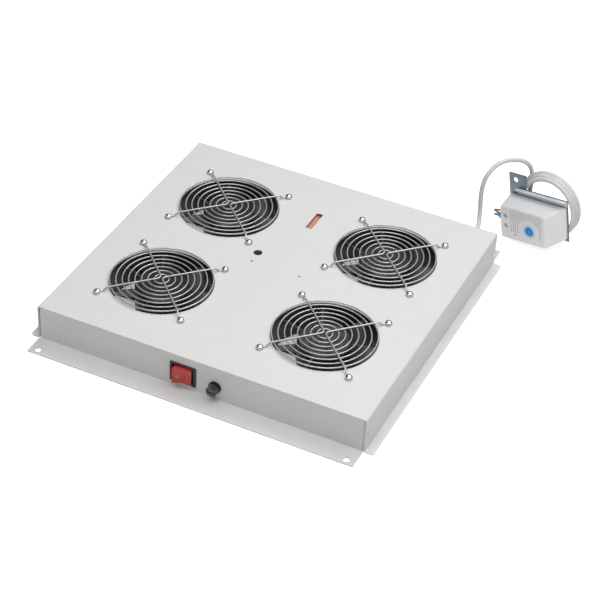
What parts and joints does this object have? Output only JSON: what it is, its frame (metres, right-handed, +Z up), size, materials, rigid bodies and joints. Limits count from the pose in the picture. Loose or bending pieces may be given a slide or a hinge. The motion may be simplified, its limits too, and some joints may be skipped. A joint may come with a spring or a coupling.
{
  "type": "rack fan tray",
  "caption": "Flanged sheet-metal tray for a rack or cabinet roof, with axial fans under wire guards, rocker switch, fuse holder and a thermostat on a coiled lead.",
  "frame": {"origin": "Centre of the four flange fixing holes, in the plane the flange undersides stand on.", "axes": "+X to the right seen from the switch, +Y from the switch wall to the rear wall, +Z up through the top face."},
  "size_m": [0.4826, 0.5102, 0.0985],
  "materials": {
    "powder_coat": "fine-textured light grey powder coat, low gloss",
    "rivet_steel": "plain blind rivets",
    "screw_zinc": "bright zinc-plated pan-head screws",
    "winding_steel": "varnished laminations and winding",
    "switch_black": "moulded switch frame, satin",
    "rocker_red": "translucent red rocker",
    "terminal_brass": "tinned brass blade terminals",
    "fuse_black": "moulded fuse holder",
    "fuse_glass": "glass cartridge fuse with end caps",
    "gland_black": "nylon glands",
    "board_phenolic": "pink-brown insulating board",
    "spacer_nylon": "natural nylon",
    "block_nylon": "natural nylon terminal block",
    "thermostat_plastic": "light grey moulded housing",
    "dial_blue": "blue moulded dial",
    "bracket_zinc": "zinc-plated steel bracket",
    "lead_sheath": "light grey flexible sheath",
    "core_brown": "brown insulated core",
    "core_blue": "blue insulated core",
    "fan_black": "black moulded fan frame",
    "rotor_black": "black rotor and blades",
    "guard_chrome": "bright plated steel wire"
  },
  "bodies": {
    "tray": {"tray_shell": "powder_coat", "corner_rivets": "rivet_steel", "guard_screws": "screw_zinc", "fan_stators": "winding_steel", "switch_housing": "switch_black", "switch_terminals": "terminal_brass", "fuse_holder": "fuse_black", "fuse_holder_nut": "fuse_black", "thermostat_gland": "gland_black", "mains_gland": "gland_black", "gland_nuts": "gland_black", "terminal_board": "board_phenolic", "board_spacers": "spacer_nylon", "board_studs": "screw_zinc", "board_nuts": "screw_zinc", "terminal_block": "block_nylon", "thermostat_cover": "thermostat_plastic", "thermostat_base": "thermostat_plastic", "terminal_screws": "screw_zinc", "mounting_bracket": "bracket_zinc", "lead_arch": "lead_sheath", "lead_coil": "lead_sheath", "lead_tail": "lead_sheath", "core_brown": "core_brown", "core_blue": "core_blue", "fan_frame_front_left": "fan_black", "fan_guard_front_left": "guard_chrome", "fan_frame_front_right": "fan_black", "fan_guard_front_right": "guard_chrome", "fan_frame_rear_left": "fan_black", "fan_guard_rear_left": "guard_chrome", "fan_frame_rear_right": "fan_black", "fan_guard_rear_right": "guard_chrome"},
    "rocker": {"switch_rocker": "rocker_red"},
    "fuse_carrier": {"fuse_link": "fuse_glass"},
    "fuse_cap": {"fuse_cap": "fuse_black"},
    "dial": {"thermostat_dial": "dial_blue"},
    "rotor_front_left": {"fan_rotor_front_left": "rotor_black"},
    "rotor_front_right": {"fan_rotor_front_right": "rotor_black"},
    "rotor_rear_left": {"fan_rotor_rear_left": "rotor_black"},
    "rotor_rear_right": {"fan_rotor_rear_right": "rotor_black"}
  },
  "joints": [
    {"name": "rotor_front_left_spin", "type": "hinge", "parent": "tray", "child": "rotor_front_left", "pos_m": [-0.1005, -0.083, 0.02], "axis": [0, 0, 1], "continuous": true},
    {"name": "rotor_front_right_spin", "type": "hinge", "parent": "tray", "child": "rotor_front_right", "pos_m": [0.1005, -0.083, 0.02], "axis": [0, 0, 1], "continuous": true},
    {"name": "rotor_rear_left_spin", "type": "hinge", "parent": "tray", "child": "rotor_rear_left", "pos_m": [-0.1005, 0.081, 0.02], "axis": [0, 0, 1], "continuous": true},
    {"name": "rotor_rear_right_spin", "type": "hinge", "parent": "tray", "child": "rotor_rear_right", "pos_m": [0.1005, 0.081, 0.02], "axis": [0, 0, 1], "continuous": true},
    {"name": "rocker_tilt", "type": "hinge", "parent": "tray", "child": "rocker", "pos_m": [-0.0165, -0.1867, 0.021], "axis": [0, 0, 1], "range_deg": [-22, 0]},
    {"name": "fuse_slide", "type": "slide", "parent": "tray", "child": "fuse_carrier", "axis": [0, -1, 0], "range_m": [0, 0.032]},
    {"name": "fuse_cap_turn", "type": "hinge", "parent": "fuse_carrier", "child": "fuse_cap", "pos_m": [0.022, -0.19, 0.018], "axis": [0, -1, 0], "range_deg": [0, 90]},
    {"name": "dial_turn", "type": "hinge", "parent": "tray", "child": "dial", "pos_m": [0.22221, 0.23251, 0.02698], "axis": [-0.2773, -0.9608, 0], "range_deg": [-135, 135]}
  ]
}
